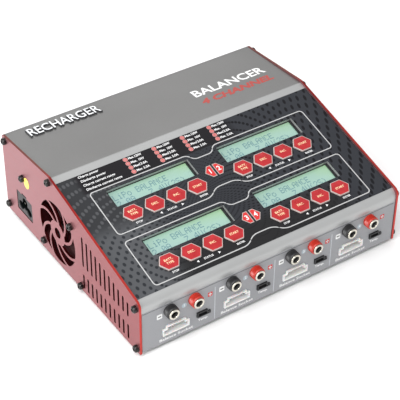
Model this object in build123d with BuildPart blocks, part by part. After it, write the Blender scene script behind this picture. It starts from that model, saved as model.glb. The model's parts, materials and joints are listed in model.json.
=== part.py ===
from build123d import *
import math
import os

# Four-channel balance charger: bent aluminium cover and base between two red side plates.
# +X right, +Y to the rear, +Z up; the origin is under the middle of the whole box, at the feet.
# Points in a side profile are (distance behind the plates' front edge, height above their bottom edge).

# Driving dimensions, mm
width = 210.0
depth = 180.0
front_height = 43.0
bend_back = 112.5
bend_height = 70.5
rear_height = 64.5
foot_height = 3.0
jack_reach = 5.8
plate_thickness = 1.6
head_height = 2.8
top_lip = 1.5
rear_rise = 1.1
front_lip = 0.8
sheet = 2.0
film = 0.3
channels = 4
channel_pitch = 47.85
column_x = 44.0
row_down = (33.4, 78.0)
window_size = (64.7, 14.8)
key_pitch = 16.85
key_down = 16.3
key_size = (15.7, 12.3, 7.9)

front_edge = -(depth - jack_reach) / 2
inner_x = width / 2 - plate_thickness
slope_angle = math.degrees(math.atan2(bend_height - front_height, bend_back))
rear_angle = math.degrees(math.atan2(bend_height - rear_height, depth - bend_back))
drop = math.tan(math.radians(slope_angle))
rear_drop = math.tan(math.radians(rear_angle))


def y_at(back):
    return front_edge + back


def z_at(height):
    return foot_height + height


def side(back, height):
    """A side-profile point in the YZ plane."""
    return (y_at(back), z_at(height))


def top_height(back, inset):
    """Height of the sloping top line a distance inset below the plates' edge."""
    if back < bend_back:
        return front_height + back * drop - inset / math.cos(math.radians(slope_angle))
    return bend_height - (back - bend_back) * rear_drop - inset / math.cos(math.radians(rear_angle))


def bend_point(inset):
    """The corner between slope and rear top, a distance inset below the plates' edge."""
    s, r = math.radians(slope_angle), math.radians(rear_angle)
    low_s, low_r = inset / math.cos(s), inset / math.cos(r)
    shift = (low_s - low_r) / (drop + rear_drop)
    return (bend_back + shift, bend_height + shift * drop - low_s)


cover_bend = bend_point(top_lip)
slope_normal = Vector(0, -math.sin(math.radians(slope_angle)), math.cos(math.radians(slope_angle)))


def slope_plane(lift=0.0):
    """The cover's sloping face moved out by lift; x is +X and y runs up the slope, from the bend."""
    origin = Vector(0, *side(*cover_bend)) + slope_normal * lift
    return Plane(origin=origin, x_dir=(1, 0, 0), z_dir=slope_normal)


def side_plane(x):
    """A YZ plane at x; its local x is +Y and its local y is +Z."""
    return Plane(origin=(x, 0, 0), x_dir=(0, 1, 0), z_dir=(1, 0, 0))


def front_plane(back):
    """An XZ plane facing the front; its local x is +X and its local y is +Z."""
    return Plane(origin=(0, y_at(back), 0), x_dir=(1, 0, 0), z_dir=(0, -1, 0))


def save(name, builder):
    builder.part.label = name
    export_step(builder.part, f"parts/{name}.step")


os.makedirs("parts", exist_ok=True)

channel_x = [(i - (channels - 1) / 2) * channel_pitch for i in range(channels)]
window_spots = [(x, -down) for down in row_down for x in (-column_x, column_x)]
key_spots = [
    [(x + (k - 1.5) * key_pitch, y - key_down) for k in range(4)] for x, y in window_spots
]
key_names = ("type", "down", "up", "start")
black_jacks = [(x - 10.4, 27.9) for x in channel_x]
red_jacks = [(x + 8.4, 27.9) for x in channel_x]
balance_spots = [(x - 5.9, 11.3) for x in channel_x]
temp_spots = [(x + 15.7, 11.9) for x in channel_x]

# ---- Screw ports and the screws' places on a side plate
port_radius = 2.4
cover_ports = [(175.1, 61.6), (112.8, 66.1), (4.1, 37.5), (3.3, 3.7)]
base_ports = [(73.9, 3.7), (176.0, 6.0)]
ground_spot = (152.0, 43.9)


def nearest(sketch, point):
    """The sketch's corner nearest to a point in its own plane."""
    return sketch.vertices().sort_by_distance((*point, 0))[0]


def port_points(ports):
    return [side(*p) for p in ports]


# ---- Top cover: front wall, slope and rear top in one extrusion, with screw ports along it
jack_hole = 4.1
socket_size = (20.4, 7.6)
socket_step = (2.6, 2.2)
temp_size = (10.4, 4.0)
temp_step = (2.4, 2.0)
cover_rear = 177.6
front_gap = 0.2


def cover_outline(inset_top, inset_front, rear, foot):
    """Polyline points of the cover's side profile at the given insets."""
    corner = (inset_front, top_height(inset_front, inset_top))
    rear_top = (rear, top_height(rear, inset_top) + rear_rise)
    return [side(inset_front, foot), side(*corner), side(*bend_point(inset_top)), side(*rear_top)]


def stepped_outline(size, step, grow=0.0):
    """A socket's front outline, its two upper corners stepped in; step is (across, down)."""
    half, high = size[0] / 2 + grow, size[1] / 2 + grow
    inner = half - step[0]
    shoulder = high - step[1]
    return [
        (-half, -high),
        (half, -high),
        (half, shoulder),
        (inner, shoulder),
        (inner, high),
        (-inner, high),
        (-inner, shoulder),
        (-half, shoulder),
    ]


def temp_outline(grow=0.0):
    """A temperature socket's front outline, its upper right corner stepped in."""
    half, high = temp_size[0] / 2 + grow, temp_size[1] / 2 + grow
    return [
        (-half, -high),
        (half, -high),
        (half, high - temp_step[1]),
        (half - temp_step[0], high - temp_step[1]),
        (half - temp_step[0], high),
        (-half, high),
    ]


def key_outline(grow=0.0):
    """The key's hexagon, its points to the left and right, grown by a margin."""
    tip, high, flat = key_size[0] / 2 + 1.2 * grow, key_size[1] / 2 + grow, key_size[2] / 2 + 0.6 * grow
    return [(tip, 0), (flat, high), (-flat, high), (-tip, 0), (-flat, -high), (flat, -high)]


def at_front(spots):
    return [(x, z_at(z)) for x, z in spots]


with BuildPart() as cover:
    with BuildSketch(side_plane(-inner_x)) as profile:
        outer = cover_outline(top_lip, front_lip, cover_rear, front_gap)
        inner = cover_outline(top_lip + sheet, front_lip + sheet, cover_rear, front_gap)
        with BuildLine():
            Polyline(*outer, *reversed(inner), close=True)
        make_face()
        fillet(nearest(profile, outer[1]), 7.0)
        fillet(nearest(profile, inner[1]), 5.0)
        fillet(nearest(profile, outer[2]), 2.0)
        with Locations(*port_points(cover_ports)):
            Circle(port_radius)
        with Locations(*port_points(cover_ports)):
            Circle(1.3, mode=Mode.SUBTRACT)
    extrude(amount=2 * inner_x)
    with BuildSketch(slope_plane(1.0)):
        with Locations(*window_spots):
            Rectangle(*window_size)
        for row in key_spots:
            with Locations(*row):
                Polygon(*key_outline(0.3), align=None)
    extrude(amount=-4.0, mode=Mode.SUBTRACT)
    with BuildSketch(front_plane(0)):
        with Locations(*at_front(black_jacks + red_jacks)):
            Circle(jack_hole)
        with Locations(*at_front(balance_spots)):
            Polygon(*stepped_outline(socket_size, socket_step, 0.25), align=None)
        with Locations(*at_front(temp_spots)):
            Polygon(*temp_outline(0.25), align=None)
    extrude(amount=-3.5, mode=Mode.SUBTRACT)
save("top_cover", cover)

# ---- Base tray: floor and rear wall in one extrusion, with two more screw ports
floor_low = 0.8
floor_front = 8.0
rear_wall = (177.7, 179.4)
foot_spots = [(x, y_at(back)) for x in (-88, 88) for back in (18, 162)]
post_spots = [(x, y_at(back)) for x in (-74, 9, 92) for back in (20, 160)]
rear_slot_x = [6.0 * (i - 7) for i in range(15)]

with BuildPart() as base:
    with BuildSketch(side_plane(-inner_x)):
        with BuildLine():
            Polyline(
                side(floor_front, floor_low),
                side(rear_wall[1], floor_low),
                side(rear_wall[1], top_height(rear_wall[1], top_lip) + rear_rise),
                side(rear_wall[0], top_height(rear_wall[0], top_lip) + rear_rise),
                side(rear_wall[0], floor_low + sheet),
                side(floor_front, floor_low + sheet),
                close=True,
            )
        make_face()
        with Locations(*port_points(base_ports)):
            Circle(port_radius)
        with Locations(*port_points(base_ports)):
            Circle(1.3, mode=Mode.SUBTRACT)
    extrude(amount=2 * inner_x)
    with BuildSketch(Plane.XY.offset(z_at(floor_low))):
        with Locations(*foot_spots):
            Circle(1.6)
    extrude(amount=sheet, mode=Mode.SUBTRACT)
    with BuildSketch(front_plane(rear_wall[0] - 0.5)):
        with Locations(*[(x, z_at(34)) for x in rear_slot_x]):
            SlotOverall(22, 2.4, rotation=90)
    extrude(amount=-3.5, mode=Mode.SUBTRACT)
save("base_tray", base)

# ---- Side plates: red anodised sheet with vents, and on the left the fan grille and the mains inlet
fan_centre = (104.5, 28.0)
fan_pitch = 40.0
grille_inner = 9.5
grille_outer = 24.0
hub_hole = 4.0
arm_width = 2.1
inlet_centre = (152.5, 18.7)
inlet_cut = (22.2, 16.8)
inlet_notch = (6.8, 1.4)
vent_pitch = 5.63
vent_width = 2.0
upper_vent_low = 23.1
lower_vent = (3.5, 16.0)
vent_top_gap = 11.7
fan_screw_spots = [
    (fan_centre[0] - fan_pitch / 2, fan_centre[1] + fan_pitch / 2),
    (fan_centre[0] + fan_pitch / 2, fan_centre[1] - fan_pitch / 2),
]


def vents(first, count):
    """Two rows of upright slots, the upper row following the sloping top edge."""
    for i in range(count):
        back = first - i * vent_pitch
        top = top_height(back, 0) - vent_top_gap
        for low, high in ((upper_vent_low, top), lower_vent):
            with Locations(side(back, (low + high) / 2)):
                SlotOverall(high - low, vent_width, rotation=90, mode=Mode.SUBTRACT)


plate_outline = [(0, 0), (0, front_height), (bend_back, bend_height), (depth, rear_height), (depth, 0)]


def grille_arm(hub_angle, rim_angle):
    """A spiral arm's centre line from the hub to the rim, angles as seen from outside the left plate."""
    points = []
    for share in (0, 0.5, 1):
        radius = grille_inner - 1.5 + share * (grille_outer + 1.5 - grille_inner + 1.5)
        angle = math.radians(hub_angle + share * (rim_angle - hub_angle))
        back = fan_centre[0] - radius * math.cos(angle)
        points.append(side(back, fan_centre[1] + radius * math.sin(angle)))
    ThreePointArc(*points)


with BuildPart() as left:
    with BuildSketch(side_plane(-width / 2)) as face:
        with BuildLine():
            Polyline(*port_points(plate_outline), close=True)
        make_face()
        fillet(nearest(face, side(0, front_height)), 5.0)
        fillet(nearest(face, side(bend_back, bend_height)), 2.0)
        fillet(nearest(face, side(depth, rear_height)), 2.0)
        vents(70.4, 11)
        with Locations(*port_points(cover_ports + base_ports + fan_screw_spots + [ground_spot])):
            Circle(1.6, mode=Mode.SUBTRACT)
        with Locations(side(*inlet_centre)):
            RectangleRounded(*inlet_cut, 1.0, mode=Mode.SUBTRACT)
            with Locations((0, inlet_cut[1] / 2)):
                Rectangle(inlet_notch[0], 2 * inlet_notch[1], mode=Mode.SUBTRACT)
        with Locations(side(*fan_centre)):
            Circle(hub_hole, mode=Mode.SUBTRACT)
    extrude(amount=plate_thickness)
    with BuildSketch(side_plane(-width / 2)):
        with Locations(side(*fan_centre)):
            Circle(grille_outer)
            Circle(grille_inner, mode=Mode.SUBTRACT)
        with BuildLine(mode=Mode.PRIVATE) as arms:
            for quarter in range(4):
                grille_arm(19 + 90 * quarter, 77 + 90 * quarter)
                grille_arm(72 + 90 * quarter, 125 + 90 * quarter)
        trace(arms.edges(), line_width=arm_width, mode=Mode.SUBTRACT)
    extrude(amount=plate_thickness, mode=Mode.SUBTRACT)
save("left_plate", left)

with BuildPart() as right:
    with BuildSketch(side_plane(inner_x)) as face:
        with BuildLine():
            Polyline(*port_points(plate_outline), close=True)
        make_face()
        fillet(nearest(face, side(0, front_height)), 5.0)
        fillet(nearest(face, side(bend_back, bend_height)), 2.0)
        fillet(nearest(face, side(depth, rear_height)), 2.0)
        vents(70.4, 11)
        vents(155.0, 11)
        with Locations(*port_points(cover_ports + base_ports)):
            Circle(1.6, mode=Mode.SUBTRACT)
    extrude(amount=plate_thickness)
save("right_plate", right)

# ---- Printed films: the overlay on the slope and the label on the front wall
overlay_down = (6.2, 110.3)
label_heights = (0.4, 33.6)

with BuildPart() as overlay:
    with BuildSketch(slope_plane()):
        with Locations((0, -(overlay_down[0] + overlay_down[1]) / 2)):
            Rectangle(2 * inner_x - 0.6, overlay_down[1] - overlay_down[0])
        with Locations(*window_spots):
            Rectangle(*window_size, mode=Mode.SUBTRACT)
        for row in key_spots:
            with Locations(*row):
                Polygon(*key_outline(0.3), align=None, mode=Mode.SUBTRACT)
    extrude(amount=film)
save("panel_overlay", overlay)

with BuildPart() as label:
    with BuildSketch(front_plane(front_lip)):
        with Locations((0, z_at((label_heights[0] + label_heights[1]) / 2))):
            Rectangle(2 * inner_x - 1.0, label_heights[1] - label_heights[0])
        with Locations(*at_front(black_jacks + red_jacks)):
            Circle(jack_hole, mode=Mode.SUBTRACT)
        with Locations(*at_front(balance_spots)):
            Polygon(*stepped_outline(socket_size, socket_step, 0.25), align=None, mode=Mode.SUBTRACT)
        with Locations(*at_front(temp_spots)):
            Polygon(*temp_outline(0.25), align=None, mode=Mode.SUBTRACT)
    extrude(amount=film)
save("front_label", label)

# ---- Keys: a hexagonal cap, a flange under the cover that keeps it in, and a stem into its switch
cap_top = 1.0
flange_top = -2.15
flange_bottom = -3.15
stem_end = -4.5
flange_size = (9.0, 14.3)
stem_radius = 1.65
switch_top = -4.1
switch_bore = 1.2
board_top = -7.6
board_thickness = 1.6

for channel, row in enumerate(key_spots, start=1):
    for (x, y), label_name in zip(row, key_names):
        with BuildPart() as key:
            with BuildSketch(slope_plane(flange_bottom)):
                with Locations((x, y)):
                    Polygon(*key_outline(), align=None)
            extrude(amount=cap_top - flange_bottom)
            chamfer(key.faces().sort_by(Axis((0, 0, 0), tuple(slope_normal)))[-1].edges(), 0.35)
            with BuildSketch(slope_plane(flange_bottom)):
                with Locations((x, y)):
                    Rectangle(*flange_size)
            extrude(amount=flange_top - flange_bottom)
            with BuildSketch(slope_plane(stem_end)):
                with Locations((x, y)):
                    Circle(stem_radius)
            extrude(amount=flange_bottom - stem_end)
        save(f"key_{channel}_{label_name}", key)

with BuildPart() as switches:
    with BuildSketch(slope_plane(board_top)):
        for row in key_spots:
            with Locations(*row):
                RectangleRounded(6.0, 6.0, 0.4)
    extrude(amount=switch_top - board_top)
    with BuildSketch(slope_plane(switch_top)):
        for row in key_spots:
            with Locations(*row):
                Circle(stem_radius + 0.1)
    extrude(amount=-switch_bore, mode=Mode.SUBTRACT)
save("tact_switches", switches)

# ---- Displays: a steel frame, the glass and its backlight, four times, on the control board
frame_outer = (71.0, 17.6)
frame_window = (61.4, 14.4)
frame_top = -2.1
frame_skin = 0.9
frame_wall = 0.6
glass_thickness = 1.4
gap = 0.05

for number, spot in enumerate(window_spots, start=1):
    pocket = (frame_outer[0] - 2 * frame_wall, frame_outer[1] - 2 * frame_wall)
    with BuildPart() as frame:
        with BuildSketch(slope_plane(board_top)):
            with Locations(spot):
                Rectangle(*frame_outer)
        extrude(amount=frame_top - board_top)
        with BuildSketch(slope_plane(board_top)):
            with Locations(spot):
                Rectangle(*pocket)
        extrude(amount=frame_top - frame_skin - board_top, mode=Mode.SUBTRACT)
        with BuildSketch(slope_plane(frame_top)):
            with Locations(spot):
                Rectangle(*frame_window)
        extrude(amount=-frame_skin, mode=Mode.SUBTRACT)
    save(f"lcd_frame_{number}", frame)
    with BuildPart() as glass:
        with BuildSketch(slope_plane(frame_top - frame_skin - gap)):
            with Locations(spot):
                Rectangle(pocket[0] - 0.2, pocket[1] - 0.2)
        extrude(amount=-glass_thickness)
    save(f"lcd_glass_{number}", glass)

with BuildPart() as backlights:
    with BuildSketch(slope_plane(board_top + gap)):
        with Locations(*window_spots):
            Rectangle(pocket[0] - 0.2, pocket[1] - 0.2)
    extrude(amount=frame_top - frame_skin - glass_thickness - 3 * gap - board_top)
save("lcd_backlights", backlights)

control_size = (176.0, 88.0)
control_down = 62.0
spacer_spots = [(x, -down) for x in (-84, 84) for down in (22, 62, 102)] + [(0, -22), (0, -64)]

with BuildPart() as control:
    with BuildSketch(slope_plane(board_top)):
        with Locations((0, -control_down)):
            Rectangle(*control_size)
    extrude(amount=-board_thickness)
save("control_board", control)

with BuildPart() as spacers:
    with BuildSketch(slope_plane(board_top)):
        with Locations(*spacer_spots):
            RegularPolygon(2.8, 6)
    extrude(amount=-sheet - board_top)
save("control_spacers", spacers)

# ---- Output jacks: 4 mm banana sockets, each a metal sleeve in a coloured insulator with a nut behind
bore_radius = 2.0
bore_back = 0.4
deep_radius = 2.3
sleeve_radius = 2.8
ring_radius = 3.9
ring_front = -jack_reach
insulator_front = -4.7
insulator_radius = 4.7
tail_radius = 3.95
tail_back = 6.0
sleeve_back = 17.0
film_face = front_lip - film
nut_spans = (front_lip + sheet + 0.1, front_lip + sheet + 2.5)


all_jacks = black_jacks + red_jacks
# Each stretch of a jack: outer radius, inner radius, and where it starts and ends behind the front edge
insulator_stretches = [
    (insulator_radius, sleeve_radius + gap, insulator_front, film_face),
    (tail_radius, sleeve_radius + gap, film_face, tail_back),
]
sleeve_stretches = [
    (ring_radius, bore_radius, ring_front, insulator_front),
    (sleeve_radius, bore_radius, insulator_front, bore_back),
    (sleeve_radius, deep_radius, bore_back, sleeve_back - 2),
]

for colour, spots in (("black", black_jacks), ("red", red_jacks)):
    with BuildPart() as insulator:
        for outer_radius, inner_radius, start, end in insulator_stretches:
            with BuildSketch(front_plane(end)):
                with Locations(*at_front(spots)):
                    Circle(outer_radius)
                with Locations(*at_front(spots)):
                    Circle(inner_radius, mode=Mode.SUBTRACT)
            extrude(amount=end - start)
    save(f"jack_insulators_{colour}", insulator)

with BuildPart() as sleeves:
    for outer_radius, inner_radius, start, end in sleeve_stretches:
        with BuildSketch(front_plane(end)):
            with Locations(*at_front(all_jacks)):
                Circle(outer_radius)
            with Locations(*at_front(all_jacks)):
                Circle(inner_radius, mode=Mode.SUBTRACT)
        extrude(amount=end - start)
    with BuildSketch(front_plane(sleeve_back)):
        with Locations(*at_front(all_jacks)):
            Circle(sleeve_radius)
    extrude(amount=2.0)
save("jack_sleeves", sleeves)

with BuildPart() as nuts:
    with BuildSketch(front_plane(nut_spans[1])):
        with Locations(*at_front(all_jacks)):
            RegularPolygon(5.4, 6, major_radius=False)
        with Locations(*at_front(all_jacks)):
            Circle(tail_radius + gap, mode=Mode.SUBTRACT)
    extrude(amount=nut_spans[1] - nut_spans[0])
save("jack_nuts", nuts)

# ---- Balance and temperature sockets with their pins, on the upright output board
socket_front = -0.6
socket_back = 12.8
cavity_back = 8.4
output_board = (13.0, 14.6)
pin_front = 1.6
pin_back = 16.4
balance_pins = 7
temp_pins = 3
pin_pitch = 2.5
pin_size = 0.64


def pin_row(spots, count, shift, drop_down):
    """Places of a row of pins in each socket, the row moved across by shift and down by drop_down."""
    across = [shift + (i - (count - 1) / 2) * pin_pitch for i in range(count)]
    return [(x + a, z - drop_down) for x, z in spots for a in across]


with BuildPart() as balance:
    with BuildSketch(front_plane(socket_back)):
        with Locations(*at_front(balance_spots)):
            Polygon(*stepped_outline(socket_size, socket_step), align=None)
    extrude(amount=socket_back - socket_front)
    with BuildSketch(front_plane(cavity_back)):
        with Locations(*at_front(balance_spots)):
            Polygon(*stepped_outline(socket_size, socket_step, -1.0), align=None)
    extrude(amount=cavity_back - socket_front, mode=Mode.SUBTRACT)
    with BuildSketch(front_plane(socket_back)):
        with Locations(*at_front(pin_row(balance_spots, balance_pins, 0, 0.6))):
            Rectangle(pin_size + 0.04, pin_size + 0.04)
    extrude(amount=socket_back - cavity_back, mode=Mode.SUBTRACT)
save("balance_sockets", balance)

with BuildPart() as temperature:
    with BuildSketch(front_plane(socket_back)):
        with Locations(*at_front(temp_spots)):
            Polygon(*temp_outline(), align=None)
    extrude(amount=socket_back - socket_front)
    with BuildSketch(front_plane(cavity_back)):
        with Locations(*at_front(temp_spots)):
            Polygon(*temp_outline(-0.7), align=None)
    extrude(amount=cavity_back - socket_front, mode=Mode.SUBTRACT)
    with BuildSketch(front_plane(socket_back)):
        with Locations(*at_front(pin_row(temp_spots, temp_pins, -1.0, 0.2))):
            Rectangle(pin_size + 0.04, pin_size + 0.04)
    extrude(amount=socket_back - cavity_back, mode=Mode.SUBTRACT)
save("temp_sockets", temperature)

with BuildPart() as pins:
    with BuildSketch(front_plane(pin_back)):
        with Locations(*at_front(pin_row(balance_spots, balance_pins, 0, 0.6))):
            Rectangle(pin_size, pin_size)
        with Locations(*at_front(pin_row(temp_spots, temp_pins, -1.0, 0.2))):
            Rectangle(pin_size, pin_size)
    extrude(amount=pin_back - pin_front)
save("socket_pins", pins)

with BuildPart() as output:
    with BuildSketch(front_plane(output_board[1])):
        with Locations((0, z_at(18.5))):
            Rectangle(196, 29)
        with Locations(*at_front(all_jacks)):
            Circle(sleeve_radius + 0.1, mode=Mode.SUBTRACT)
        with Locations(*at_front(pin_row(balance_spots, balance_pins, 0, 0.6))):
            Circle(0.5, mode=Mode.SUBTRACT)
        with Locations(*at_front(pin_row(temp_spots, temp_pins, -1.0, 0.2))):
            Circle(0.5, mode=Mode.SUBTRACT)
    extrude(amount=output_board[1] - output_board[0])
save("output_board", output)

# ---- Mains inlet: three-lobed recess with three round pins, held in the left plate by a rear flange
lobe_radius = 3.6
lobe_spots = [(152.5, 21.4), (146.9, 16.2), (158.1, 16.2)]
join_spot = (152.5, 18.9)
join_radius = 4.0
inlet_face = (21.9, 16.2)
inlet_flange = (26.0, 20.0)
face_inset = 0.3
flange_thickness = 1.2
inlet_depth = 20.0
recess_depth = 14.0
inlet_pin_radius = 1.15
outer_face = -width / 2

with BuildPart() as inlet:
    with BuildSketch(side_plane(outer_face + face_inset)):
        with Locations(side(inlet_centre[0], inlet_centre[1] + 0.15)):
            RectangleRounded(*inlet_face, 0.9)
    extrude(amount=inlet_depth - face_inset)
    with BuildSketch(side_plane(-inner_x)):
        with Locations(side(*inlet_centre)):
            RectangleRounded(*inlet_flange, 1.5)
    extrude(amount=flange_thickness)
    with BuildSketch(side_plane(outer_face)):
        with Locations(*port_points(lobe_spots)):
            Circle(lobe_radius)
        with Locations(side(*join_spot)):
            Circle(join_radius)
    extrude(amount=recess_depth, mode=Mode.SUBTRACT)
    with BuildSketch(side_plane(outer_face + recess_depth)):
        with Locations(*port_points(lobe_spots)):
            Circle(inlet_pin_radius + 0.05)
    extrude(amount=inlet_depth - recess_depth, mode=Mode.SUBTRACT)
save("inlet_body", inlet)

with BuildPart() as inlet_pins:
    with BuildSketch(side_plane(outer_face + 3)):
        with Locations(*port_points(lobe_spots)):
            Circle(inlet_pin_radius)
    extrude(amount=inlet_depth + 1)
save("inlet_pins", inlet_pins)

# ---- Cooling fan behind the grille: frame with motor boss, and the rotor on its shaft
fan_size = 50.0
fan_front = -inner_x + 0.2
fan_thickness = 15.0
fan_bore = 24.2
hub_radius = 10.5
blade_tip = 22.8
shaft_radius = 1.0
boss_depth = 3.0
fan_corners = [
    (fan_centre[0] + a * fan_pitch / 2, fan_centre[1] + b * fan_pitch / 2) for a in (-1, 1) for b in (-1, 1)
]
fan_back = fan_front + fan_thickness
rotor_span = (fan_front + 1.6, fan_back - boss_depth - 0.6)

with BuildPart() as fan_frame:
    with BuildSketch(side_plane(fan_front)):
        with Locations(side(*fan_centre)):
            RectangleRounded(fan_size, fan_size, 2.5)
            Circle(fan_bore, mode=Mode.SUBTRACT)
        with Locations(*port_points(fan_corners)):
            Circle(1.7, mode=Mode.SUBTRACT)
    extrude(amount=fan_thickness)
    with BuildSketch(side_plane(fan_back - boss_depth)):
        with Locations(side(*fan_centre)):
            Circle(hub_radius)
            for turn in (45, 135):
                Rectangle(2 * fan_bore + 1, 3.0, rotation=turn)
    extrude(amount=boss_depth)
    with BuildSketch(side_plane(rotor_span[0] + 2)):
        with Locations(side(*fan_centre)):
            Circle(shaft_radius)
    extrude(amount=fan_back - boss_depth - rotor_span[0] - 2)
save("fan_frame", fan_frame)

blade_count = 7
blade_chord = 11.0
blade_tilt = 40.0
hub_plane = Plane(origin=(rotor_span[0], *side(*fan_centre)), x_dir=(0, 1, 0), z_dir=(1, 0, 0))
blade_middle = (rotor_span[1] - rotor_span[0]) / 2

with BuildPart() as rotor:
    with BuildSketch(hub_plane):
        Circle(hub_radius)
    extrude(amount=rotor_span[1] - rotor_span[0])
    for i in range(blade_count):
        turn = math.radians(360 * i / blade_count)
        outward = hub_plane.x_dir * math.cos(turn) + hub_plane.y_dir * math.sin(turn)
        blade_radius = (hub_radius - 1 + blade_tip) / 2
        middle = hub_plane.origin + hub_plane.z_dir * blade_middle + outward * blade_radius
        across = hub_plane.z_dir.cross(outward)
        pitch = math.radians(blade_tilt)
        lean = hub_plane.z_dir * math.cos(pitch) + across * math.sin(pitch)
        with BuildSketch(Plane(origin=middle, x_dir=outward, z_dir=lean)):
            Rectangle(blade_tip - hub_radius + 1, blade_chord)
        extrude(amount=0.6, both=True)
    with BuildSketch(hub_plane.offset(1.9)):
        Circle(shaft_radius + 0.05)
    extrude(amount=rotor_span[1] - rotor_span[0], mode=Mode.SUBTRACT)
save("fan_rotor", rotor)

# ---- Fasteners: domed socket screws on both plates, fan screws with nuts, ground screw
screw_radius = 1.25
head_radius = 2.6
screw_reach = 12.0
fan_screw_radius = 1.5
dome = 1.3
socket_radius = 1.2
socket_depth = 1.4
screw_sets = {
    "plate_screws": (
        screw_radius,
        screw_reach,
        [(-1, cover_ports + base_ports + [ground_spot]), (1, cover_ports + base_ports)],
    ),
    "fan_screws": (fan_screw_radius, plate_thickness + fan_thickness + 3.5, [(-1, fan_screw_spots)]),
}

for name, (shank, reach, sides) in screw_sets.items():
    with BuildPart() as screws:
        for way, spots in sides:
            face_x = way * width / 2
            end_face = -1 if way > 0 else 0
            with BuildSketch(side_plane(face_x)):
                with Locations(*port_points(spots)):
                    Circle(head_radius)
            heads = extrude(amount=way * head_height)
            fillet(heads.faces().group_by(Axis.X)[end_face].edges(), dome)
            with BuildSketch(side_plane(face_x + way * head_height)):
                with Locations(*port_points(spots)):
                    RegularPolygon(socket_radius, 6)
            extrude(amount=-way * socket_depth, mode=Mode.SUBTRACT)
            with BuildSketch(side_plane(face_x)):
                with Locations(*port_points(spots)):
                    Circle(shank)
            extrude(amount=-way * reach)
    save(name, screws)

with BuildPart() as fan_nuts:
    with BuildSketch(side_plane(fan_back + 0.1)):
        with Locations(*port_points(fan_screw_spots)):
            RegularPolygon(2.75, 6, major_radius=False)
        with Locations(*port_points(fan_screw_spots)):
            Circle(fan_screw_radius + gap, mode=Mode.SUBTRACT)
    extrude(amount=2.4)
save("fan_nuts", fan_nuts)

with BuildPart() as sticker:
    with BuildSketch(side_plane(outer_face - 0.2)):
        with Locations(side(146.7, 42.8)):
            Ellipse(3.8, 4.3)
        with Locations(side(*ground_spot)):
            Circle(head_radius + 0.1, mode=Mode.SUBTRACT)
    extrude(amount=0.2)
save("seal_sticker", sticker)

# ---- Power electronics on the main board
board_low = 8.0
board_face = board_low + board_thickness
main_size = (176.0, 150.0)
main_centre = (9.0, y_at(92.0))

with BuildPart() as main:
    with BuildSketch(Plane.XY.offset(z_at(board_low))):
        with Locations(main_centre):
            RectangleRounded(*main_size, 2.0)
        with Locations(*post_spots):
            Circle(1.6, mode=Mode.SUBTRACT)
    extrude(amount=board_thickness)
save("main_board", main)

with BuildPart() as posts:
    with BuildSketch(Plane.XY.offset(z_at(floor_low + sheet))):
        with Locations(*post_spots):
            RegularPolygon(3.0, 6)
    extrude(amount=board_low - floor_low - sheet)
save("board_posts", posts)

transformer_spot = (45, y_at(132))

with BuildPart() as core:
    with BuildSketch(Plane.XY.offset(z_at(board_face))):
        with Locations(transformer_spot):
            Rectangle(42, 14)
    extrude(amount=34)
    with BuildSketch(Plane.XY.offset(z_at(board_face + 5))):
        with Locations(transformer_spot):
            with Locations((-11.5, 0), (11.5, 0)):
                Rectangle(9, 14)
    extrude(amount=24, mode=Mode.SUBTRACT)
save("transformer_core", core)

with BuildPart() as winding:
    with BuildSketch(Plane.XY.offset(z_at(board_face + 5.3))):
        with Locations(transformer_spot):
            RectangleRounded(30.5, 30, 4)
            Rectangle(14.4, 14.4, mode=Mode.SUBTRACT)
    extrude(amount=23.4)
save("transformer_winding", winding)

with BuildPart() as capacitors:
    with BuildSketch(Plane.XY.offset(z_at(board_face))):
        with Locations((-20, y_at(150)), (-20, y_at(128))):
            Circle(9)
    extrude(amount=32)
    fillet(capacitors.faces().filter_by(Axis.Z).group_by(Axis.Z)[-1].edges(), 1.0)
save("bulk_capacitors", capacitors)

with BuildPart() as choke:
    with BuildSketch(Plane.XY.offset(z_at(board_face))):
        with Locations((-55, y_at(140))):
            Circle(11)
            Circle(5, mode=Mode.SUBTRACT)
    extrude(amount=13)
    fillet(choke.edges().filter_by(GeomType.CIRCLE), 2.5)
save("mains_choke", choke)

with BuildPart() as sinks:
    for x in channel_x:
        with BuildSketch(Plane.XY.offset(z_at(board_face))):
            with Locations((x + 8, y_at(82))):
                Rectangle(34, 4)
                with Locations(*[(-15 + 6 * i, 6) for i in range(6)]):
                    Rectangle(1.6, 12)
        extrude(amount=24)
save("heatsinks", sinks)

with BuildPart() as inductors:
    with BuildSketch(Plane.XY.offset(z_at(board_face))):
        with Locations(*[(x + 8, y_at(50)) for x in channel_x]):
            Circle(10)
            Circle(4.5, mode=Mode.SUBTRACT)
    extrude(amount=10)
    fillet(inductors.edges().filter_by(GeomType.CIRCLE), 2.5)
save("channel_inductors", inductors)

# ---- Rubber feet, their screws and the ones that hold the main board
foot_radius = 7.0
foot_recess = 3.4
recess_height = 1.8

with BuildPart() as feet:
    with BuildSketch():
        with Locations(*foot_spots):
            Circle(foot_radius)
            Circle(1.6, mode=Mode.SUBTRACT)
    extrude(amount=z_at(floor_low))
    with BuildSketch():
        with Locations(*foot_spots):
            Circle(foot_recess)
    extrude(amount=recess_height, mode=Mode.SUBTRACT)
    chamfer(feet.edges().group_by(Axis.Z)[0].group_by(SortBy.RADIUS)[-1], 0.6)
save("feet", feet)

with BuildPart() as base_screws:
    with BuildSketch(Plane.XY.offset(recess_height - 1.4)):
        with Locations(*foot_spots):
            Circle(foot_recess - 0.5)
    extrude(amount=1.4)
    with BuildSketch(Plane.XY.offset(recess_height)):
        with Locations(*foot_spots):
            Circle(1.5)
    extrude(amount=z_at(floor_low + sheet) + 2.0 - recess_height)
    with BuildSketch(Plane.XY.offset(z_at(board_face))):
        with Locations(*post_spots):
            Circle(2.7)
    extrude(amount=1.8)
    with BuildSketch(Plane.XY.offset(z_at(board_face))):
        with Locations(*post_spots):
            Circle(1.5)
    extrude(amount=-board_thickness)
save("base_screws", base_screws)
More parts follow.
